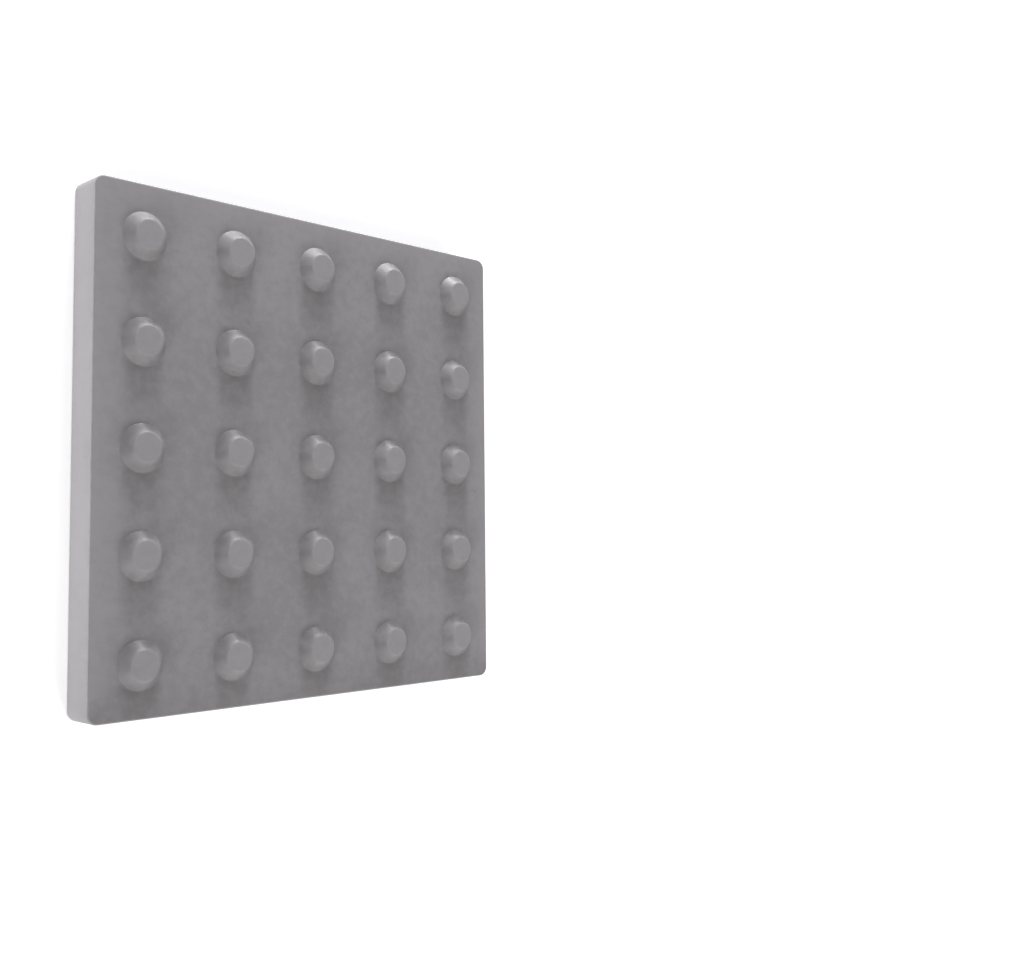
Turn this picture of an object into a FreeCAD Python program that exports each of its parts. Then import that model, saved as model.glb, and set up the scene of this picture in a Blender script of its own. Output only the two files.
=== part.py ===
"""Tactile paving slab: a square cast slab with a square field of truncated domes, in one piece.

The slab lies flat. X and Y run along its sides, Z points up, and the origin is at the centre of its underside.
"""
import FreeCAD, Part
import os

import Sketcher

# Sizes in millimetres
SIZES = [
    ("slab_side", "250", "side of the square slab"),
    ("slab_thickness", "20", "underside to the flat face between the domes"),
    ("corner_radius", "5", "plan radius of the four corners"),
    ("arris_width", "0.8", "small bevel of the edge around the upper face"),
    ("dome_pitch", "50", "centre to centre, both ways"),
    ("dome_base_diameter", "23", "where the flank meets the face"),
    ("dome_top_diameter", "14", "where the flank meets the flat top, before the rim is rounded"),
    ("dome_height", "5.5", "flat face to flat top"),
    ("rim_radius", "0.9", "rounding between flank and flat top"),
]

doc = FreeCAD.newDocument("tactile_slab")

# Size sheet
sheet = doc.addObject("Spreadsheet::Sheet", "sizes")
for row, (alias, value, meaning) in enumerate(SIZES, start=1):
    sheet.set(f"A{row}", alias)
    sheet.set(f"B{row}", value)
    sheet.set(f"C{row}", meaning)
    sheet.setAlias(f"B{row}", alias)
count_row = len(SIZES) + 1
sheet.set(f"A{count_row}", "domes_per_side")
sheet.set(f"B{count_row}", "=floor(slab_side / dome_pitch + 0.001)")
sheet.set(f"C{count_row}", "whole pitches that fit along a side")
sheet.setAlias(f"B{count_row}", "domes_per_side")
doc.recompute()

body = doc.addObject("PartDesign::Body", "tactile_slab")
body.Label = "tactile_slab"
planes = {feature.Role: feature for feature in body.Origin.OriginFeatures}


def new_sketch(name, plane):
    """An empty sketch of the body on one of its origin planes."""
    sketch = body.newObject("Sketcher::SketchObject", name)
    sketch.AttachmentSupport = [(planes[plane], "")]
    sketch.MapMode = "FlatFace"
    return sketch


def bind(sketch, name, constraint, expression):
    """Adds a named driving dimension and ties it to the size sheet."""
    sketch.addConstraint(constraint)
    index = sketch.ConstraintCount - 1
    sketch.renameConstraint(index, name)
    sketch.setExpression(f"Constraints.{name}", expression)


def line(start, end):
    """A sketch line between two points given as (x, y)."""
    return Part.LineSegment(FreeCAD.Vector(*start, 0), FreeCAD.Vector(*end, 0))


# Outline of the slab: a square about the origin
outline = new_sketch("outline", "XY_Plane")
half = sheet.slab_side / 2
corners = [(-half, -half), (half, -half), (half, half), (-half, half)]
for index in range(4):
    outline.addGeometry(line(corners[index], corners[(index + 1) % 4]))
for index in range(4):
    outline.addConstraint(Sketcher.Constraint("Coincident", index, 2, (index + 1) % 4, 1))
for index, direction in enumerate(("Horizontal", "Vertical", "Horizontal", "Vertical")):
    outline.addConstraint(Sketcher.Constraint(direction, index))
outline.addConstraint(Sketcher.Constraint("Symmetric", 0, 1, 2, 1, -1, 1))
bind(outline, "side_x", Sketcher.Constraint("DistanceX", 0, 1, 0, 2, sheet.slab_side), "sizes.slab_side")
bind(outline, "side_y", Sketcher.Constraint("DistanceY", 1, 1, 1, 2, sheet.slab_side), "sizes.slab_side")
doc.recompute()

# Slab
slab = body.newObject("PartDesign::Pad", "slab")
slab.Profile = outline
slab.setExpression("Length", "sizes.slab_thickness")
doc.recompute()


def edges_where(feature, test):
    """Names of the edges of a feature that pass a test."""
    return [f"Edge{number}" for number, edge in enumerate(feature.Shape.Edges, start=1) if test(edge)]


def is_upright(edge):
    """True for an edge that runs along Z."""
    return edge.BoundBox.ZLength > max(edge.BoundBox.XLength, edge.BoundBox.YLength)


def is_on_face(edge):
    """True for an edge that lies in the plane of the upper face."""
    box = edge.BoundBox
    return abs(box.ZMin - sheet.slab_thickness) < 1e-4 and abs(box.ZMax - sheet.slab_thickness) < 1e-4


# Rounded corners in plan
corner_rounding = body.newObject("PartDesign::Fillet", "corner_rounding")
corner_rounding.Base = (slab, edges_where(slab, is_upright))
corner_rounding.setExpression("Radius", "sizes.corner_radius")
doc.recompute()

# Softened arris around the upper face
arris_bevel = body.newObject("PartDesign::Chamfer", "arris_bevel")
arris_bevel.Base = (corner_rounding, edges_where(corner_rounding, is_on_face))
arris_bevel.setExpression("Size", "sizes.arris_width")
doc.recompute()

# Half section of one dome, sunk half way into the slab, on the axis of the sketch
profile = new_sketch("dome_profile", "XZ_Plane")
FIRST = "-(sizes.domes_per_side - 1) / 2 * sizes.dome_pitch"
profile.setExpression("AttachmentOffset.Base.x", FIRST)
profile.setExpression("AttachmentOffset.Base.z", f"-({FIRST})")
root = sheet.slab_thickness / 2
face = sheet.slab_thickness
crown = face + sheet.dome_height
base_radius = sheet.dome_base_diameter / 2
top_radius = sheet.dome_top_diameter / 2
points = [(0, root), (base_radius, root), (base_radius, face), (top_radius, crown), (0, crown)]
FLOOR, SKIRT, FLANK, TOP, AXIS = range(5)
for index in range(5):
    profile.addGeometry(line(points[index], points[(index + 1) % 5]))
for index in range(5):
    profile.addConstraint(Sketcher.Constraint("Coincident", index, 2, (index + 1) % 5, 1))
profile.addConstraint(Sketcher.Constraint("Horizontal", FLOOR))
profile.addConstraint(Sketcher.Constraint("Vertical", SKIRT))
profile.addConstraint(Sketcher.Constraint("Horizontal", TOP))
profile.addConstraint(Sketcher.Constraint("PointOnObject", AXIS, 1, -2))
profile.addConstraint(Sketcher.Constraint("PointOnObject", AXIS, 2, -2))
bind(profile, "root", Sketcher.Constraint("DistanceY", -1, 1, FLOOR, 1, root), "sizes.slab_thickness / 2")
bind(profile, "face", Sketcher.Constraint("DistanceY", -1, 1, SKIRT, 2, face), "sizes.slab_thickness")
bind(profile, "height", Sketcher.Constraint("DistanceY", FLANK, 1, FLANK, 2, crown - face), "sizes.dome_height")
bind(profile, "base", Sketcher.Constraint("DistanceX", FLOOR, 1, FLOOR, 2, base_radius), "sizes.dome_base_diameter / 2")
bind(profile, "top", Sketcher.Constraint("DistanceX", TOP, 2, TOP, 1, top_radius), "sizes.dome_top_diameter / 2")
doc.recompute()

# Rounded rim of the flat top, the sharp corner kept as the point that the sizes are taken to
profile.fillet(FLANK, 2, sheet.rim_radius, True, True)
RIM = AXIS + 1
bind(profile, "rim", Sketcher.Constraint("Radius", RIM, sheet.rim_radius), "sizes.rim_radius")
doc.recompute()
if not profile.FullyConstrained:
    raise RuntimeError("the dome profile is not fully constrained")

# First dome of the field
dome = body.newObject("PartDesign::Revolution", "dome")
dome.Profile = profile
dome.ReferenceAxis = (profile, ["V_Axis"])
dome.Angle = 360
doc.recompute()

# Field of domes, the same pitch both ways
field = body.newObject("PartDesign::MultiTransform", "dome_field")
field.Originals = [dome]
rows = []
for name, axis in (("along_x", "X_Axis"), ("along_y", "Y_Axis")):
    pattern = body.newObject("PartDesign::LinearPattern", name)
    pattern.Direction = (planes[axis], [""])
    pattern.Mode = "Spacing"
    pattern.setExpression("Offset", "sizes.dome_pitch")
    pattern.setExpression("Occurrences", "sizes.domes_per_side")
    rows.append(pattern)
field.Transformations = rows
body.Tip = field
doc.recompute()

# Every feature has to have worked before anything is written
for feature in doc.Objects:
    if "Invalid" in feature.State or "Error" in feature.State:
        raise RuntimeError(f"{feature.Name} did not recompute: {feature.State}")
for feature in (slab, corner_rounding, arris_bevel, dome, field):
    if feature.Shape.isNull() or not feature.Shape.isValid():
        raise RuntimeError(f"{feature.Name} has no valid shape")
if len(body.Shape.Solids) != 1:
    raise RuntimeError("the slab is not one solid")

os.makedirs("parts", exist_ok=True)
body.Shape.exportStep("parts/tactile_slab.step")
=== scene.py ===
import bpy
import numpy as np
from bpy.props import FloatProperty, FloatVectorProperty, IntProperty, PointerProperty
from mathutils import Matrix, Vector


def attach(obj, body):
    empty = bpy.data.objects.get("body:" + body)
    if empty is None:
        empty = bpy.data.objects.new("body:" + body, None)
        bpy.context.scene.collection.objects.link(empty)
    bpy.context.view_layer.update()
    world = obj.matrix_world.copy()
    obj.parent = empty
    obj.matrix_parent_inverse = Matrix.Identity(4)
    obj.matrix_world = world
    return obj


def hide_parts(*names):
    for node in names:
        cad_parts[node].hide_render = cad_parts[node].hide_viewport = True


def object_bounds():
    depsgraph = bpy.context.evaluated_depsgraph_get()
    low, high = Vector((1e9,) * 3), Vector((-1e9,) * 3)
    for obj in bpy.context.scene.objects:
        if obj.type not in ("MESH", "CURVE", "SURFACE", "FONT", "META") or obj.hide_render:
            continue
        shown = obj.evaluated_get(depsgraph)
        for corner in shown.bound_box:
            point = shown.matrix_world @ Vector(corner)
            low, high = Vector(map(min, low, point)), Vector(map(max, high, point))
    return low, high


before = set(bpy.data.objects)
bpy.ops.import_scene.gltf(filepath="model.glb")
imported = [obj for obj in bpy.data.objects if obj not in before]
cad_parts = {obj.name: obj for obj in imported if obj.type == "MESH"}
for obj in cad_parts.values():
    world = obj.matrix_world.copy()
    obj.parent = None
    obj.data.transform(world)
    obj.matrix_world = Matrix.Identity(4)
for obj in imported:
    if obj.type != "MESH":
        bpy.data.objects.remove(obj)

bl_info = {
    "name": "Tactile paving slab",
    "version": (1, 0, 0),
    "blender": (4, 5, 0),
    "location": "3D View > Sidebar > Tactile slab",
    "description": "Casts a concrete slab with truncated domes over its solid and sets a plain studio around it",
    "category": "Object",
}

NODE = "tactile_slab"
CAD_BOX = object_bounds()
CAD_SIZE = CAD_BOX[1] - CAD_BOX[0]
MM = 0.001
DOME_HEIGHT = 5.5 * MM


class SlabShape(bpy.types.PropertyGroup):
    """Sizes of the cast slab."""

    side: FloatProperty(
        name="Side", description="Side of the square slab", default=CAD_SIZE.x, unit="LENGTH",
        subtype="DISTANCE",
    )
    thickness: FloatProperty(
        name="Thickness", description="Underside to the flat face between the domes",
        default=CAD_SIZE.z - DOME_HEIGHT, unit="LENGTH", subtype="DISTANCE",
    )
    corner_radius: FloatProperty(
        name="Corner radius", description="Plan radius of the four corners", default=5.0 * MM, unit="LENGTH",
        subtype="DISTANCE",
    )
    arris_radius: FloatProperty(
        name="Arris radius", description="Rounding of the edge around the face", default=0.8 * MM, unit="LENGTH",
        subtype="DISTANCE",
    )
    back_radius: FloatProperty(
        name="Back arris radius", description="Rounding of the edge around the back", default=0.5 * MM,
        unit="LENGTH", subtype="DISTANCE",
    )
    domes: IntProperty(name="Domes per side", description="Domes along each side of the field", default=5)
    dome_pitch: FloatProperty(
        name="Dome pitch", description="Centre to centre, both ways", default=50.0 * MM, unit="LENGTH",
        subtype="DISTANCE",
    )
    dome_base: FloatProperty(
        name="Dome base", description="Diameter where the flank meets the face", default=23.0 * MM, unit="LENGTH",
        subtype="DISTANCE",
    )
    dome_top: FloatProperty(
        name="Dome top", description="Diameter where the flank meets the flat top", default=14.0 * MM,
        unit="LENGTH", subtype="DISTANCE",
    )
    dome_height: FloatProperty(
        name="Dome height", description="Face to flat top", default=DOME_HEIGHT, unit="LENGTH", subtype="DISTANCE"
    )
    rim_radius: FloatProperty(
        name="Rim radius", description="Rounding between flank and flat top, worn rounder than it was cast",
        default=1.4 * MM, unit="LENGTH", subtype="DISTANCE",
    )
    foot_radius: FloatProperty(
        name="Foot radius", description="Rounding between flank and face", default=0.5 * MM, unit="LENGTH",
        subtype="DISTANCE",
    )
    skin_relief: FloatProperty(
        name="Skin relief", description="Height of the faint waves that the mould leaves", default=0.05 * MM,
        unit="LENGTH", subtype="DISTANCE",
    )


class ConcreteFinish(bpy.types.PropertyGroup):
    """Colours of the concrete."""

    skin_colour: FloatVectorProperty(
        name="Skin", description="Cement skin against the mould", default=(0.261, 0.2505, 0.26), subtype="COLOR",
        min=0.0, max=1.0,
    )
    # The pale colour also serves the worn dome tops and the painted light on the face margin and the sides
    pale_colour: FloatVectorProperty(
        name="Pale clouds", description="Paler cement clouds, rubbed tops and sides",
        default=(0.292, 0.281, 0.291), subtype="COLOR", min=0.0, max=1.0,
    )
    dark_colour: FloatVectorProperty(
        name="Dark clouds", description="Darker, damper looking clouds", default=(0.222, 0.2125, 0.219),
        subtype="COLOR", min=0.0, max=1.0,
    )
    cloud_patch: FloatVectorProperty(
        name="Cloud patch", description="Part of the endless cloud pattern that the face is cut from",
        default=(0.58, 0.24, -0.52), subtype="TRANSLATION", unit="LENGTH",
    )
    back_colour: FloatVectorProperty(
        name="Back", description="Struck concrete of the back", default=(0.235, 0.23, 0.222), subtype="COLOR",
        min=0.0, max=1.0,
    )


class StudioLook(bpy.types.PropertyGroup):
    """Floor, light and camera."""

    floor_colour: FloatVectorProperty(
        name="Floor", description="Pale floor", default=(0.93, 0.93, 0.93), subtype="COLOR", min=0.0, max=1.0
    )
    floor_glow: FloatProperty(
        name="Floor lift", description="Light added to the floor as the camera sees it", default=0.36
    )
    far_glow: FloatProperty(
        name="Far floor lift", description="The same, well away from the slab where the lamps don't reach",
        default=0.85,
    )
    ambient: FloatProperty(name="Ambient", description="Even light from all round", default=0.309)
    key_power: FloatProperty(
        name="Key", description="Lamp that skims the face from the far side", default=12.0, unit="POWER"
    )
    high_power: FloatProperty(
        name="High key", description="Broad lamp above the key that deepens the shade under the domes",
        default=3.6, unit="POWER",
    )
    low_power: FloatProperty(
        name="Low key", description="Lamp almost level with the face that lights the far row", default=15.8,
        unit="POWER",
    )
    glint_power: FloatProperty(
        name="Glint", description="Small lamp that only shines on the rims of the domes", default=27.0,
        unit="POWER",
    )
    left_power: FloatProperty(
        name="Left fill", description="Low broad lamp at the near left", default=93.0, unit="POWER"
    )
    right_power: FloatProperty(
        name="Right fill", description="High broad lamp at the near right", default=86.5, unit="POWER"
    )
    strip_power: FloatProperty(
        name="Side strip", description="Thin lamp on the floor that lifts the left side", default=0.0545,
        unit="POWER",
    )
    camera_place: FloatVectorProperty(
        name="Camera", description="Where the camera stands", default=(-0.37241, -0.04233, 0.51818),
        subtype="TRANSLATION", unit="LENGTH",
    )
    camera_aim: FloatVectorProperty(
        name="Aim", description="Point in the middle of the view", default=(0.14851, 0.00739, 0.020),
        subtype="TRANSLATION", unit="LENGTH",
    )
    camera_up: FloatVectorProperty(
        name="Picture up", description="Direction that is up in the picture",
        default=(-0.04298, 0.99758, 0.05462), subtype="DIRECTION",
    )
    lens: FloatProperty(name="Lens", description="Focal length", default=41.047, unit="CAMERA")
    rise: FloatProperty(name="Rise", description="Upward shift of the view", default=-0.0288)


# Shape of the slab

# Points round one dome, and the rings of its flat top, rim, flank and foot
TURNS = 96
FLAT_RINGS, RIM_RINGS, FLANK_RINGS, FOOT_RINGS = 5, 6, 6, 5

# Rings of the face from a dome's foot to the edge of its cell, and how they crowd towards the foot
FACE_RINGS = 11
FACE_CROWDING = 1.25

# Rows of the arris, the side and the back edge, and where the rings of the back lie, as shares of its outline
ARRIS_ROWS, SIDE_ROWS, BACK_ROWS = 6, 8, 4
BACK_SHARES = np.array([1.0, 0.97, 0.9, 0.78, 0.64, 0.48, 0.32, 0.16, 0.0])

# Width of the margin in which points of the face move to make room for the arris, and of the outer part of it that
# goes to the rounded corners
SPARE = 12.5 * MM
CORNER_SHARE = 8.0 * MM

# Painted light on the margin of the face, which is paler towards its edge: its width and strength
MARGIN_WIDTH = 20 * MM
MARGIN_LIGHT = 0.9

# Painted shadow streaks below the domes: length, half width, width of the soft edge, strength and how far the streaks
# differ
RUN_LENGTH = 55 * MM
RUN_REACH = 15 * MM
RUN_EDGE = 9 * MM
RUN_STRENGTH = 1.34
RUN_SPREAD = (0.85, 1.15)
RUN_SEED = 17

# Painted shade on the face at a dome's foot, how much more the lower right side has and where that side is, and the
# share of that shade that is added to the painted shadow streak below
FOOT_SHADE = 0.5
LOWER_RIGHT_SHADE = 0.4
LOWER_RIGHT_TURN = np.radians(310)
RUN_FOOT_SHADE = 0.5

# Cells after which the random waves repeat, steps in a metre that the weld rounds to, and the width at the edge of the
# back over which the trowel marks fade
LATTICE = 64
WELD_GRID = 1e6
BACK_EDGE = 3 * MM


def soft_noise(u, v, cell, seed):
    """Smooth random height from -1 to 1: random values on a square lattice with the given cell, blended between
    the four nearest lattice points with the weight 3 w^2 - 2 w^3 each way. The lattice repeats after 64 cells."""
    lattice = np.random.default_rng(seed).uniform(-1.0, 1.0, (LATTICE, LATTICE))
    a, b = u / cell, v / cell
    i, j = np.floor(a).astype(int), np.floor(b).astype(int)
    wa, wb = a - i, b - j
    wa, wb = wa * wa * (3 - 2 * wa), wb * wb * (3 - 2 * wb)
    i, i_next, j, j_next = i % LATTICE, (i + 1) % LATTICE, j % LATTICE, (j + 1) % LATTICE
    low = lattice[i, j] * (1 - wa) + lattice[i_next, j] * wa
    high = lattice[i, j_next] * (1 - wa) + lattice[i_next, j_next] * wa
    return low * (1 - wb) + high * wb


def dome_section(shape):
    """Rings of one dome from the middle of its top outwards: distance from the axis, height above the face, how
    far the ring is worn pale by feet, and how much painted shade it carries on the outer rim, the flank and the foot.

    The section is a flat top, an arc of the rim radius, a straight flank and a hollow arc of the foot radius. For a
    flank that slopes by the angle s, each arc starts radius x tan(s / 2) from the sharp corner it replaces.
    """
    base, top, height = shape.dome_base / 2, shape.dome_top / 2, shape.dome_height
    rim, foot = shape.rim_radius, shape.foot_radius
    slope = np.arctan2(height, base - top)
    rim_axis = top - rim * np.tan(slope / 2)
    foot_axis = base + foot * np.tan(slope / 2)
    rim_turn = np.linspace(0.0, slope, RIM_RINGS)
    foot_turn = np.linspace(slope, 0.0, FOOT_RINGS)
    arc_rim = np.stack([rim_axis + rim * np.sin(rim_turn), height - rim + rim * np.cos(rim_turn)])
    arc_foot = np.stack([foot_axis - foot * np.sin(foot_turn), foot - foot * np.cos(foot_turn)])
    flat = np.stack([np.linspace(0.0, rim_axis, FLAT_RINGS + 1)[:-1], np.full(FLAT_RINGS, height)])
    along = np.linspace(0.0, 1.0, FLANK_RINGS + 2)[1:-1]
    flank = arc_rim[:, -1:] * (1 - along) + arc_foot[:, :1] * along
    section = np.concatenate([flat, arc_rim, flank, arc_foot], axis=1)
    wear_and_painted_light = np.concatenate([
        np.full(FLAT_RINGS, 0.8),
        np.linspace(0.8, 0.4, RIM_RINGS),
        np.linspace(0.3, 0.0, FLANK_RINGS),
        np.zeros(FOOT_RINGS),
    ])
    unshaded_rim = RIM_RINGS // 2
    # Painted shade: none on the top and the inner rim, growing over the outer rim and the flank to full in the crease
    # at the foot
    painted_shade = np.concatenate([
        np.zeros(FLAT_RINGS + unshaded_rim),
        np.linspace(0.25, 0.65, RIM_RINGS - unshaded_rim),
        np.linspace(0.75, 1.0, FLANK_RINGS),
        np.linspace(1.0, 0.5, FOOT_RINGS),
    ])
    return section[0], section[1], wear_and_painted_light, painted_shade


def cell_turns():
    """Directions of the points round one square cell: its four sides each cut into equal steps, seen from the
    middle, so that neighbouring cells share the points between them."""
    step = np.linspace(-1.0, 1.0, TURNS // 4, endpoint=False)
    return (np.arange(4)[:, None] * np.pi / 2 + np.arctan(step)).ravel()


def press(shape, x, y):
    """Moves points of the full square to the flat part of the face, which ends where the arris begins. Only the
    outer margin moves: each coordinate is squeezed there, and a point at u, v in the unit square of a corner goes
    to u sqrt(1 - v^2 / 2), v sqrt(1 - u^2 / 2), which makes that square a quarter disc."""
    half, arris = shape.side / 2, shape.arris_radius
    bend = half - shape.corner_radius
    radius = shape.corner_radius - arris
    knots = [0.0, half - SPARE, half - CORNER_SHARE, half]
    goals = [0.0, half - SPARE, bend, half - arris]
    px, py = np.interp(np.abs(x), knots, goals), np.interp(np.abs(y), knots, goals)
    u, v = np.maximum(px - bend, 0) / radius, np.maximum(py - bend, 0) / radius
    px = np.where(u > 0, bend + radius * u * np.sqrt(1 - v * v / 2), px)
    py = np.where(v > 0, bend + radius * v * np.sqrt(1 - u * u / 2), py)
    return np.copysign(px, x), np.copysign(py, y)


def strips(rows, columns):
    """Quads between the points of a grid stored row by row, whose last column joins its first."""
    i, k = np.meshgrid(np.arange(rows - 1), np.arange(columns), indexing="ij")
    after = (k + 1) % columns
    corners = [i * columns + k, (i + 1) * columns + k, (i + 1) * columns + after, i * columns + after]
    return np.stack(corners, axis=-1).reshape(-1, 4)


def painted_shadow_runs(shape, x, y, middle_x, middle_y):
    """Painted shadow: a dark run from each dome towards the near side, at the points x, y of the dome cells.

    A run has a random strength of its own and fades evenly along its length. Across, it is full near the dome's
    middle and gone at its reach, by the weight 3 w^2 - 2 w^3. A point on the far side of its own dome lies in the
    run of the dome in the next row, if there is one.
    """
    own = np.random.default_rng(RUN_SEED).uniform(*RUN_SPREAD, shape.domes ** 2).reshape(-1, 1, 1)
    has_row_above = middle_y < middle_y.max() - 0.5 * shape.dome_pitch
    above = np.roll(own, -shape.domes, axis=0) * has_row_above
    fall = middle_y - y
    strength = np.where(fall > 0, own, above)
    fall = np.where(fall > 0, fall, fall + shape.dome_pitch)
    side = np.clip((RUN_REACH - np.abs(x - middle_x)) / RUN_EDGE, 0, 1)
    return RUN_STRENGTH * strength * np.clip(1 - fall / RUN_LENGTH, 0, 1) * side * side * (3 - 2 * side)


def dome_field(shape):
    """The face with its domes: one square cell for each dome, in rings round the dome's axis.

    On the dome a ring is a circle of the section's radius. Beyond the foot a ring lies at the share w of the way
    from the foot to the cell's edge, which is half a pitch over the larger of |cos| and |sin| of its direction.
    The margin of the face is painted paler too, as painted light, evenly less from its edge inwards, but not along the
    near side, which is darkened as painted shade. Painted shade lies round the foot of each dome, more of it on the
    lower right by half of 1 + cos of the turn from there, and on the lower side it adds to the painted shadow streak
    below it.
    """
    radius, height, wear_and_painted_light, painted_shade = dome_section(shape)
    turns = cell_turns()
    half = shape.dome_pitch / 2
    rim_of_cell = half / np.maximum(np.abs(np.cos(turns)), np.abs(np.sin(turns)))
    share = np.linspace(0.0, 1.0, FACE_RINGS + 1)[1:] ** FACE_CROWDING
    plain = radius[-1] * (1 - share[:, None]) + rim_of_cell * share[:, None]
    reach = np.concatenate([np.repeat(radius[:, None], TURNS, axis=1), plain])
    rise = np.concatenate([height, np.zeros(FACE_RINGS)])
    first = -(shape.domes - 1) / 2 * shape.dome_pitch
    line = first + shape.dome_pitch * np.arange(shape.domes)
    middle_x, middle_y = (grid.reshape(-1, 1, 1) for grid in np.meshgrid(line, line))
    x = middle_x + reach * np.cos(turns)
    y = middle_y + reach * np.sin(turns)
    runs = painted_shadow_runs(shape, x, y, middle_x, middle_y)
    runs[:, :len(radius)] = 0.0
    x, y = press(shape, x, y)
    z = np.broadcast_to(shape.thickness + rise[:, None], x.shape)
    points = np.stack([x, y, z], axis=-1)
    inward = shape.side / 2 - np.maximum(np.abs(x), np.abs(y))
    margin = np.clip(1 - inward / MARGIN_WIDTH, 0, 1)
    near = np.clip(1 - (y + shape.side / 2) / MARGIN_WIDTH, 0, 1)
    # Worn pale dome tops, and painted light along the margin of the face
    face_wear_and_light = np.concatenate([wear_and_painted_light, np.zeros(FACE_RINGS)])[:, None]
    face_wear_and_light = np.maximum(face_wear_and_light, MARGIN_LIGHT * (margin - near))
    # Painted shade round each dome's foot, more on the lower right, added to the painted shadow streaks, and along the
    # near edge
    lower_right = 0.5 + 0.5 * np.cos(turns - LOWER_RIGHT_TURN)
    ring = np.concatenate([painted_shade, FOOT_SHADE * (1 - share) ** 2])[:, None] * (1 + LOWER_RIGHT_SHADE * lower_right)
    run_and_foot = runs + RUN_FOOT_SHADE * ring * np.clip(-np.sin(turns), 0, 1)
    shade_sum = np.maximum(np.maximum(ring, run_and_foot), near)
    rings = len(reach)
    quads = strips(rings, TURNS)
    pole = quads[:TURNS][:, [0, 1, 2]]
    offset = (np.arange(shape.domes ** 2) * rings * TURNS)[:, None, None]
    return {
        "points": points.reshape(-1, 3),
        "normals": np.broadcast_to([0.0, 0.0, 1.0], (points.size // 3, 3)),
        "wear_and_painted_light": face_wear_and_light.ravel(),
        "painted_shade": shade_sum.ravel(),
        "quads": (quads[TURNS:] + offset).reshape(-1, 4),
        "triangles": (pole + offset).reshape(-1, 3),
    }


def outline(shape):
    """Points once round the edge of the flat face, counter-clockwise, and the outward normal at each: along an axis
    on the straight sides and away from the corner's centre on the bends."""
    count = shape.domes * TURNS // 4
    half = shape.side / 2
    run = np.linspace(-half, half, count, endpoint=False)
    edge = np.full(count, half)
    x, y = press(shape, np.concatenate([edge, -run, -edge, run]), np.concatenate([run, edge, -run, -edge]))
    bend = half - shape.corner_radius
    line = np.stack([x, y], axis=1)
    out = np.maximum(np.abs(line) - bend, 0) * np.sign(line)
    return line, out / np.linalg.norm(out, axis=1, keepdims=True)


def slab_sides(shape):
    """Arris, sides and back edge: the outline of the face carried down the slab. Each row lies a distance out from
    that outline and at a height: a quarter circle at the arris, a straight side, a quarter circle at the back. The
    sides are painted paler towards the back, as painted light."""
    line, out = outline(shape)
    arris, back, thick = shape.arris_radius, shape.back_radius, shape.thickness
    turn = np.linspace(0.0, np.pi / 2, ARRIS_ROWS)
    under = np.linspace(0.0, np.pi / 2, BACK_ROWS)
    fall = np.linspace(thick - arris, back, SIDE_ROWS + 2)[1:-1]
    reach = np.concatenate([arris * np.sin(turn), np.full(SIDE_ROWS, arris), arris - back + back * np.cos(under)])
    height = np.concatenate([thick - arris + arris * np.cos(turn), fall, back - back * np.sin(under)])
    flat = np.concatenate([np.cos(turn), np.zeros(SIDE_ROWS), -np.sin(under)])
    wide = np.concatenate([np.sin(turn), np.ones(SIDE_ROWS), np.cos(under)])
    # Painted light: the arris and the sides paler, more so towards the back
    wear_and_painted_light = np.concatenate([np.full(ARRIS_ROWS, 0.4), np.linspace(0.4, 0.9, SIDE_ROWS), np.full(BACK_ROWS, 0.9)])
    xy = line[None] + reach[:, None, None] * out[None]
    rows, columns = xy.shape[:2]
    z = np.broadcast_to(height[:, None, None], (rows, columns, 1))
    upward = np.broadcast_to(flat[:, None, None], (rows, columns, 1))
    normals = np.concatenate([wide[:, None, None] * out[None], upward], axis=-1)
    return {
        "points": np.concatenate([xy, z], axis=-1).reshape(-1, 3),
        "normals": normals.reshape(-1, 3),
        "wear_and_painted_light": np.repeat(wear_and_painted_light, columns),
        "painted_shade": np.zeros(rows * columns),
        "quads": strips(rows, columns),
        "triangles": np.zeros((0, 3), int),
    }


def slab_back(shape):
    """The back: the outline inside the back edge, shrunk towards the middle in rings to a single point."""
    line, out = outline(shape)
    ring = line + (shape.arris_radius - shape.back_radius) * out
    xy = BACK_SHARES[:, None, None] * ring[None]
    rows, columns = xy.shape[:2]
    quads = strips(rows, columns)
    return {
        "points": np.concatenate([xy, np.zeros((rows, columns, 1))], axis=-1).reshape(-1, 3),
        "normals": np.broadcast_to([0.0, 0.0, -1.0], (rows * columns, 3)),
        "wear_and_painted_light": np.zeros(rows * columns),
        "painted_shade": np.zeros(rows * columns),
        "quads": quads[:-columns],
        "triangles": quads[-columns:][:, [0, 1, 3]],
    }


def relief(shape, points, normals):
    """Moves the points along their normals by faint waves of the mould, wide ones of 40 mm and finer ones of 7 mm,
    a fifth lower on the sides and edges, and lifts the back by up to four times as much in coarse trowel marks that
    fade at its edge."""
    x, y, z = points.T
    wide = soft_noise(x + z, y - z, cell=40 * MM, seed=3)
    fine = soft_noise(x + 1.7 * z, y + 1.3 * z, cell=7 * MM, seed=5)
    waves = shape.skin_relief * (0.65 * wide + 0.35 * fine)
    marks = shape.skin_relief * 2 * (1 + soft_noise(x + 0.4 * y, 0.3 * y, cell=9 * MM, seed=8))
    back = np.clip(-normals[:, 2], 0, 1)
    is_flat = np.abs(normals[:, 2]) > 0.99
    moved = points + normals * (waves * (1 - back) * np.where(is_flat, 1.0, 0.8))[:, None]
    inward = shape.side / 2 - np.maximum(np.abs(x), np.abs(y))
    moved[:, 2] += back * marks * np.clip(inward / BACK_EDGE, 0, 1)
    return moved


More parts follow.
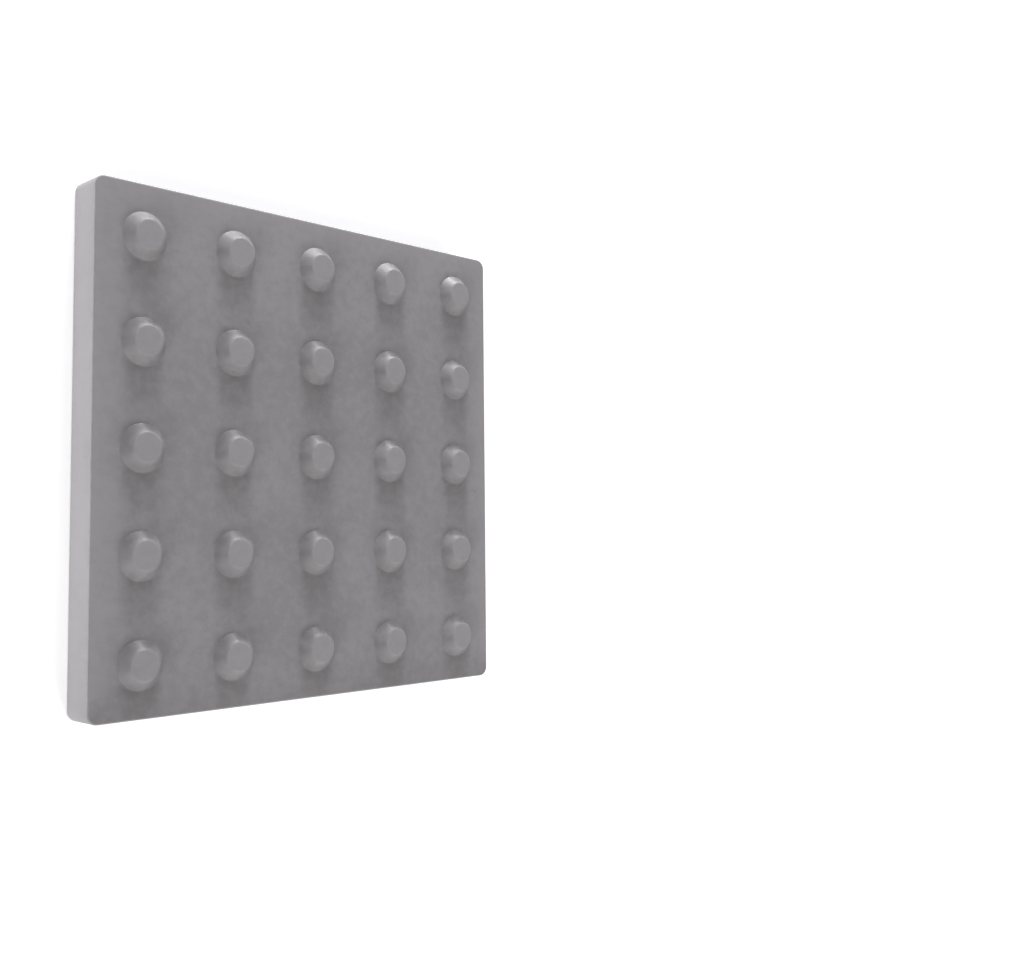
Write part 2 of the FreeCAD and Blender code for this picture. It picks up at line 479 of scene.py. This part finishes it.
def weld(surfaces):
    """Joins surfaces into one set of points: points that agree to a millionth of a metre become one."""
    points = np.concatenate([s["points"] for s in surfaces])
    starts = np.cumsum([0] + [len(s["points"]) for s in surfaces[:-1]])
    places = np.round(points * WELD_GRID).astype(np.int64)
    _, kept, index = np.unique(places, axis=0, return_index=True, return_inverse=True)
    index = index.ravel()
    quads = [index[s["quads"] + start] for s, start in zip(surfaces, starts)]
    triangles = [index[s["triangles"] + start] for s, start in zip(surfaces, starts)]
    names = ("points", "normals", "wear_and_painted_light", "painted_shade")
    fields = {name: np.concatenate([s[name] for s in surfaces])[kept] for name in names}
    return fields, quads, triangles


def slab_mesh(shape):
    """The closed mesh of the slab, with the back on the second material, and the wear with painted light and the
    painted shade kept for the finish."""
    fields, quads, triangles = weld([dome_field(shape), slab_sides(shape), slab_back(shape)])
    points = relief(shape, fields["points"], fields["normals"])
    faces = [face for part in quads + triangles for face in part.tolist()]
    sizes = [len(part) for part in quads + triangles]
    mesh = bpy.data.meshes.new("cast_slab")
    mesh.from_pydata(points, [], faces)
    # Quads of the face, the sides and the back, and then their triangles
    mesh.polygons.foreach_set("material_index", np.repeat([0, 0, 1, 0, 0, 1], sizes).astype(np.int32))
    mesh.polygons.foreach_set("use_smooth", np.ones(len(faces), bool))
    for name in ("wear_and_painted_light", "painted_shade"):
        layer = mesh.attributes.new(name, "FLOAT", "POINT")
        layer.data.foreach_set("value", fields[name].astype(np.float32))
    mesh.update()
    mesh.validate()
    return mesh


# Shader helpers

WHITE = (1.0, 1.0, 1.0, 1.0)


def feed(tree, socket, value):
    """Links a socket to the one that feeds it, or sets its plain value."""
    if isinstance(value, bpy.types.NodeSocket):
        tree.links.new(value, socket)
    else:
        socket.default_value = value


def add_node(tree, kind, links=None, **values):
    """A node of the given kind: values are its settings, links its sockets by name or number, each a number, a
    colour or the socket that feeds it."""
    node = tree.nodes.new(kind)
    for name, value in values.items():
        setattr(node, name, value)
    for name, value in (links or {}).items():
        feed(tree, node.inputs[name], value)
    return node


def maths(tree, operation, a, b):
    """The result socket of a Math node."""
    return add_node(tree, "ShaderNodeMath", {0: a, 1: b}, operation=operation).outputs[0]


def ramp(tree, value, low, high, to_low=0.0, to_high=1.0):
    """A value carried from one range to another, smoothly and without leaving it."""
    links = {"Value": value, "From Min": low, "From Max": high, "To Min": to_low, "To Max": to_high}
    return add_node(tree, "ShaderNodeMapRange", links, interpolation_type="SMOOTHSTEP").outputs["Result"]


def blend(tree, factor, a, b):
    """The colour socket of a mix of two colours, which are inputs 6 and 7 of the Mix node."""
    return add_node(tree, "ShaderNodeMix", {0: factor, 6: a, 7: b}, data_type="RGBA").outputs[2]


def spots(tree, mask, share, colour, spot_colour):
    """A colour with a share of another colour where a mask is 1."""
    return blend(tree, maths(tree, "MULTIPLY", mask, share), colour, spot_colour)


def new_group(name, inputs, outputs):
    """An empty shader node group with named float or vector sockets, and its two end nodes."""
    tree = bpy.data.node_groups.new(name, "ShaderNodeTree")
    for label, kind in inputs:
        tree.interface.new_socket(label, in_out="INPUT", socket_type=kind)
    for label, kind in outputs:
        tree.interface.new_socket(label, in_out="OUTPUT", socket_type=kind)
    return tree, tree.nodes.new("NodeGroupInput"), tree.nodes.new("NodeGroupOutput")


def cement_clouds():
    """Group: pale and dark clouds of cement, and a finer mottle, each from 0 to 1."""
    tree, start, end = new_group(
        "cement_clouds",
        [("Vector", "NodeSocketVector"), ("Broad", "NodeSocketFloat"), ("Fine", "NodeSocketFloat")],
        [("Clouds", "NodeSocketFloat"), ("Mottle", "NodeSocketFloat")],
    )
    vector = start.outputs["Vector"]
    broad = add_node(tree, "ShaderNodeTexNoise", {
        "Vector": vector, "Scale": start.outputs["Broad"], "Detail": 4.0, "Roughness": 0.5, "Distortion": 0.6,
    }).outputs[0]
    fine = add_node(tree, "ShaderNodeTexNoise", {
        "Vector": vector, "Scale": start.outputs["Fine"], "Detail": 3.0, "Roughness": 0.6,
    }).outputs[0]
    tree.links.new(ramp(tree, broad, 0.3, 0.7), end.inputs["Clouds"])
    tree.links.new(ramp(tree, fine, 0.3, 0.7), end.inputs["Mottle"])
    return tree


def sand_grain():
    """Group: fine sand in the cement as a height, and the few grains that show dark or pale."""
    tree, start, end = new_group(
        "sand_grain",
        [("Vector", "NodeSocketVector"), ("Grain", "NodeSocketFloat")],
        [("Height", "NodeSocketFloat"), ("Dark grains", "NodeSocketFloat"), ("Pale grains", "NodeSocketFloat")],
    )
    vector, grain = start.outputs["Vector"], start.outputs["Grain"]
    height = add_node(tree, "ShaderNodeTexNoise", {
        "Vector": vector, "Scale": grain, "Detail": 3.0, "Roughness": 0.65,
    }).outputs[0]
    cells = add_node(tree, "ShaderNodeTexVoronoi", {
        "Vector": vector, "Scale": maths(tree, "MULTIPLY", grain, 0.55),
    })
    pick = add_node(tree, "ShaderNodeSeparateColor", {"Color": cells.outputs["Color"]})
    spot = ramp(tree, cells.outputs["Distance"], 0.2, 0.45, 1.0, 0.0)
    dark = maths(tree, "MULTIPLY", spot, ramp(tree, pick.outputs[0], 0.93, 0.97))
    pale = maths(tree, "MULTIPLY", spot, ramp(tree, pick.outputs[1], 0.93, 0.97))
    tree.links.new(height, end.inputs["Height"])
    tree.links.new(dark, end.inputs["Dark grains"])
    tree.links.new(pale, end.inputs["Pale grains"])
    return tree


def air_holes():
    """Group: round pinholes that air leaves under the skin, in a few of the cells of a random pattern."""
    tree, start, end = new_group(
        "air_holes",
        [("Vector", "NodeSocketVector"), ("Per metre", "NodeSocketFloat"), ("Share", "NodeSocketFloat")],
        [("Hole", "NodeSocketFloat")],
    )
    cells = add_node(tree, "ShaderNodeTexVoronoi", {
        "Vector": start.outputs["Vector"], "Scale": start.outputs["Per metre"], "Randomness": 1.0,
    })
    pick = add_node(tree, "ShaderNodeSeparateColor", {"Color": cells.outputs["Color"]})
    chosen = maths(tree, "LESS_THAN", pick.outputs[0], start.outputs["Share"])
    size = ramp(tree, pick.outputs[1], 0.0, 1.0, 0.04, 0.11)
    inside = ramp(tree, maths(tree, "DIVIDE", cells.outputs["Distance"], size), 0.6, 1.0, 1.0, 0.0)
    tree.links.new(maths(tree, "MULTIPLY", chosen, inside), end.inputs["Hole"])
    return tree


def place_group(tree, group, links):
    """A node that uses a shader node group."""
    node = add_node(tree, "ShaderNodeGroup", node_tree=group)
    for name, value in links.items():
        feed(tree, node.inputs[name], value)
    return node


def opaque(colour):
    """A colour with full alpha."""
    return (*colour, 1.0)


def new_material(name):
    """A material with a fresh Principled shader: the material, its tree, the shader and Object coordinates."""
    material = bpy.data.materials.new(name)
    material.use_nodes = True
    tree = material.node_tree
    tree.nodes.clear()
    shader = tree.nodes.new("ShaderNodeBsdfPrincipled")
    end = tree.nodes.new("ShaderNodeOutputMaterial")
    tree.links.new(shader.outputs["BSDF"], end.inputs["Surface"])
    return material, tree, shader, tree.nodes.new("ShaderNodeTexCoord").outputs["Object"]


def roughen(tree, shader, grain, holes, sand_height, strength, depth):
    """Bump of the surface: sand stands up by a share of the depth and air holes go down by all of it."""
    sand = maths(tree, "MULTIPLY", grain.outputs["Height"], sand_height)
    height = maths(tree, "SUBTRACT", sand, holes.outputs["Hole"])
    bump = add_node(tree, "ShaderNodeBump", {"Strength": strength, "Distance": depth, "Height": height})
    tree.links.new(bump.outputs["Normal"], shader.inputs["Normal"])


def mould_face_concrete(finish, groups):
    """Smooth grey cement skin from a mould: faint clouds, fine sand and a few pinholes, paler on the worn dome tops
    and where light is painted on the face margin and the sides, and darker where shade is painted on the domes' flanks
    and feet, in the shadow streaks below them and along the near edge."""
    # Tint of the painted shade on and below the domes and along the near edge; hole_shade is shade painted in the air
    # holes
    painted_shade_colour, hole_shade = (0.175, 0.168, 0.17, 1.0), (0.12, 0.115, 0.11, 1.0)
    dark_sand, pale_sand = (0.14, 0.135, 0.13, 1.0), (0.42, 0.41, 0.4, 1.0)
    material, tree, shader, place = new_material("mould_face_concrete")
    patch = add_node(tree, "ShaderNodeVectorMath", {0: place, 1: finish.cloud_patch}, operation="ADD").outputs[0]
    clouds = place_group(tree, groups["clouds"], {"Vector": patch, "Broad": 16.0, "Fine": 190.0})
    grain = place_group(tree, groups["grain"], {"Vector": place, "Grain": 2400.0})
    holes = place_group(tree, groups["holes"], {"Vector": place, "Per metre": 95.0, "Share": 0.03})
    mottle = clouds.outputs["Mottle"]
    wear_and_painted_light = add_node(tree, "ShaderNodeAttribute", attribute_name="wear_and_painted_light").outputs["Fac"]
    painted_shade = add_node(tree, "ShaderNodeAttribute", attribute_name="painted_shade").outputs["Fac"]
    skin, pale, dark = opaque(finish.skin_colour), opaque(finish.pale_colour), opaque(finish.dark_colour)
    colour = blend(tree, clouds.outputs["Clouds"], dark, pale)
    colour = blend(tree, 0.5, colour, skin)
    colour = blend(tree, ramp(tree, mottle, 0.5, 1.0, 0.0, 0.35), colour, pale)
    colour = blend(tree, ramp(tree, mottle, 0.5, 0.0, 0.0, 0.35), colour, dark)
    colour = spots(tree, grain.outputs["Dark grains"], 0.35, colour, dark_sand)
    colour = spots(tree, grain.outputs["Pale grains"], 0.3, colour, pale_sand)
    # Painted shade: the domes' flanks and feet, the shadow streaks below them and the near edge
    colour = spots(tree, painted_shade, ramp(tree, mottle, 0.1, 0.9, 0.58, 0.42), colour, painted_shade_colour)
    # Worn dome tops, and painted light on the face margin and the sides
    colour = spots(tree, wear_and_painted_light, ramp(tree, mottle, 0.1, 0.9, 0.8, 1.0), colour, pale)
    colour = spots(tree, holes.outputs["Hole"], 0.3, colour, hole_shade)
    tree.links.new(colour, shader.inputs["Base Color"])
    tree.links.new(ramp(tree, mottle, 0.0, 1.0, 0.4, 0.5), shader.inputs["Roughness"])
    roughen(tree, shader, grain, holes, sand_height=0.25, strength=0.35, depth=0.3 * MM)
    shader.inputs["Specular IOR Level"].default_value = 0.12
    return material


def struck_back_concrete(finish, groups):
    """Back of the casting, struck off level: browner, rougher, with open sand and more air holes."""
    hole_shade = (0.1, 0.095, 0.09, 1.0)
    dark_sand, pale_sand = (0.12, 0.11, 0.1, 1.0), (0.42, 0.4, 0.37, 1.0)
    material, tree, shader, place = new_material("struck_back_concrete")
    clouds = place_group(tree, groups["clouds"], {"Vector": place, "Broad": 30.0, "Fine": 260.0})
    grain = place_group(tree, groups["grain"], {"Vector": place, "Grain": 1100.0})
    holes = place_group(tree, groups["holes"], {"Vector": place, "Per metre": 140.0, "Share": 0.45})
    mottle = clouds.outputs["Mottle"]
    back, pale, dark = opaque(finish.back_colour), opaque(finish.pale_colour), opaque(finish.dark_colour)
    colour = blend(tree, ramp(tree, clouds.outputs["Clouds"], 0.0, 1.0, 0.0, 0.7), back, dark)
    colour = blend(tree, ramp(tree, mottle, 0.4, 1.0, 0.0, 0.4), colour, pale)
    colour = spots(tree, grain.outputs["Dark grains"], 0.6, colour, dark_sand)
    colour = spots(tree, grain.outputs["Pale grains"], 0.5, colour, pale_sand)
    colour = spots(tree, holes.outputs["Hole"], 0.7, colour, hole_shade)
    tree.links.new(colour, shader.inputs["Base Color"])
    tree.links.new(ramp(tree, mottle, 0.0, 1.0, 0.75, 0.9), shader.inputs["Roughness"])
    roughen(tree, shader, grain, holes, sand_height=0.8, strength=0.7, depth=0.6 * MM)
    shader.inputs["Specular IOR Level"].default_value = 0.3
    return material


class TACTILE_OT_cast_slab(bpy.types.Operator):
    """Cast the slab with its domes, in place of the plain solid"""

    bl_idname = "tactile.cast_slab"
    bl_label = "Cast slab"

    def execute(self, context):
        groups = {"clouds": cement_clouds(), "grain": sand_grain(), "holes": air_holes()}
        mesh = slab_mesh(context.scene.slab_shape)
        finish = context.scene.concrete_finish
        mesh.materials.append(mould_face_concrete(finish, groups))
        mesh.materials.append(struck_back_concrete(finish, groups))
        slab = bpy.data.objects.new("cast_slab", mesh)
        context.scene.collection.objects.link(slab)
        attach(slab, "root")
        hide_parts(NODE)
        return {"FINISHED"}


# Stage

# Half side of the floor, its height, and the distances from the slab between which its lift grows
FLOOR_REACH = 4.0
FLOOR_LEVEL = -0.2 * MM
NEAR_FLOOR, FAR_FLOOR = 0.25, 0.8

# Point that the lamps face, and the cool tint of the keys
FACE_MIDDLE = (0.0, 0.0, 0.02)
COOL = (0.985, 0.985, 1.03)


def view_rays(tree):
    """A value that is 1 for rays from the camera, through glass or off gloss, which see the plain background."""
    path = tree.nodes.new("ShaderNodeLightPath")
    seen = maths(tree, "MAXIMUM", path.outputs["Is Camera Ray"], path.outputs["Is Transmission Ray"])
    return maths(tree, "MAXIMUM", seen, path.outputs["Is Glossy Ray"])


def floor_paint(look):
    """Pale matt floor. The camera sees it lifted by a little light of its own, more of it far from the slab, so
    that it reads white and still shows the shadow; it lights the slab only as plain paint."""
    material, tree, shader, place = new_material("floor_paint")
    shader.inputs["Base Color"].default_value = opaque(look.floor_colour)
    shader.inputs["Roughness"].default_value = 0.9
    shader.inputs["Specular IOR Level"].default_value = 0.1
    shader.inputs["Emission Color"].default_value = WHITE
    away = add_node(tree, "ShaderNodeVectorMath", {0: place}, operation="LENGTH").outputs["Value"]
    lift = ramp(tree, away, NEAR_FLOOR, FAR_FLOOR, look.floor_glow, look.far_glow)
    tree.links.new(maths(tree, "MULTIPLY", view_rays(tree), lift), shader.inputs["Emission Strength"])
    return material


def add_lamp(context, name, place, size, power, aim=FACE_MIDDLE, colour=WHITE[:3]):
    """A soft rectangular lamp that faces a point and that the camera doesn't see."""
    data = bpy.data.lights.new(name, "AREA")
    data.shape = "RECTANGLE"
    data.size, data.size_y = size
    data.energy = power
    data.color = colour
    lamp = bpy.data.objects.new(name, data)
    lamp.location = place
    lamp.rotation_euler = (Vector(aim) - Vector(place)).to_track_quat("-Z", "Y").to_euler()
    lamp.visible_camera = False
    context.scene.collection.objects.link(lamp)
    return lamp


class TACTILE_OT_studio(bpy.types.Operator):
    """Lay the floor and set up the light and the camera"""

    bl_idname = "tactile.studio"
    bl_label = "Set up studio"

    def execute(self, context):
        look = context.scene.studio_look
        self.lay_floor(context, look)
        self.fill_air(context, look)
        self.set_lamps(context, look)
        self.set_camera(context, look)
        context.scene.view_settings.view_transform = "Standard"
        return {"FINISHED"}

    def lay_floor(self, context, look):
        """A flat sheet just under the slab."""
        corners = [(x * FLOOR_REACH, y * FLOOR_REACH, FLOOR_LEVEL) for x, y in ((-1, -1), (1, -1), (1, 1), (-1, 1))]
        mesh = bpy.data.meshes.new("floor")
        mesh.from_pydata(corners, [], [(0, 1, 2, 3)])
        mesh.materials.append(floor_paint(look))
        floor = bpy.data.objects.new("floor", mesh)
        context.scene.collection.objects.link(floor)

    def fill_air(self, context, look):
        """Even ambient light, behind which the view is plain white."""
        world = bpy.data.worlds.new("studio_air")
        context.scene.world = world
        world.use_nodes = True
        tree = world.node_tree
        tree.nodes.clear()
        level = ramp(tree, view_rays(tree), 0.0, 1.0, look.ambient, 1.0)
        air = add_node(tree, "ShaderNodeBackground", {"Color": WHITE, "Strength": level})
        end = tree.nodes.new("ShaderNodeOutputWorld")
        tree.links.new(air.outputs[0], end.inputs["Surface"])

    def set_lamps(self, context, look):
        """Three keys from the far side, a glint that shows only in the gloss, two broad fills and a thin strip along
        the left side."""
        add_lamp(
            context, "key", place=(0.0, 1.559, 0.38), size=(0.54, 0.15), power=look.key_power, colour=COOL
        )
        add_lamp(
            context, "high_key", place=(0.0, 1.311, 0.938), size=(0.6, 0.3), power=look.high_power, colour=COOL
        )
        add_lamp(
            context, "low_key", place=(0.0, 1.599, 0.076), size=(0.13, 0.11), power=look.low_power, colour=COOL
        )
        glint = add_lamp(context, "glint", place=(0.493, 1.518, 0.118), size=(0.2, 0.12), power=look.glint_power)
        glint.visible_diffuse = False
        add_lamp(context, "left_fill", place=(-2.767, -2.767, 0.852), size=(3.2, 1.6), power=look.left_power)
        add_lamp(context, "right_fill", place=(1.757, -2.51, 2.591), size=(2.4, 1.6), power=look.right_power)
        add_lamp(
            context, "side_strip", place=(-0.163, 0.04, 0.004), size=(0.36, 0.008), power=look.strip_power,
            aim=(-0.125, 0.04, 0.004),
        )

    def set_camera(self, context, look):
        """A camera that looks from its place at its aim, with the picture's up direction upright."""
        data = bpy.data.cameras.new("camera")
        data.lens = look.lens
        data.sensor_width = 36.0
        data.shift_y = look.rise
        data.clip_start = 0.01
        camera = bpy.data.objects.new("camera", data)
        place, aim = Vector(look.camera_place), Vector(look.camera_aim)
        back = (place - aim).normalized()
        right = Vector(look.camera_up).cross(back).normalized()
        turn = Matrix((right, back.cross(right), back)).transposed()
        camera.matrix_world = Matrix.Translation(place) @ turn.to_4x4()
        context.scene.collection.objects.link(camera)
        context.scene.camera = camera


class TACTILE_PT_slab(bpy.types.Panel):
    """Sizes, finish and studio of the slab."""

    bl_label = "Tactile slab"
    bl_space_type = "VIEW_3D"
    bl_region_type = "UI"
    bl_category = "Tactile slab"

    def draw(self, context):
        scene = context.scene
        groups = {"Slab": scene.slab_shape, "Concrete": scene.concrete_finish, "Studio": scene.studio_look}
        for label, group in groups.items():
            box = self.layout.box()
            box.label(text=label)
            for name in group.__annotations__:
                box.prop(group, name)
        self.layout.operator(TACTILE_OT_cast_slab.bl_idname)
        self.layout.operator(TACTILE_OT_studio.bl_idname)


CLASSES = (SlabShape, ConcreteFinish, StudioLook, TACTILE_OT_cast_slab, TACTILE_OT_studio, TACTILE_PT_slab)


def register():
    for cls in CLASSES:
        bpy.utils.register_class(cls)
    bpy.types.Scene.slab_shape = PointerProperty(type=SlabShape)
    bpy.types.Scene.concrete_finish = PointerProperty(type=ConcreteFinish)
    bpy.types.Scene.studio_look = PointerProperty(type=StudioLook)


def unregister():
    del bpy.types.Scene.studio_look
    del bpy.types.Scene.concrete_finish
    del bpy.types.Scene.slab_shape
    for cls in reversed(CLASSES):
        bpy.utils.unregister_class(cls)


def main():
    """Builds the slab and its studio."""
    register()
    bpy.ops.tactile.cast_slab()
    bpy.ops.tactile.studio()


if __name__ == "__main__":
    main()
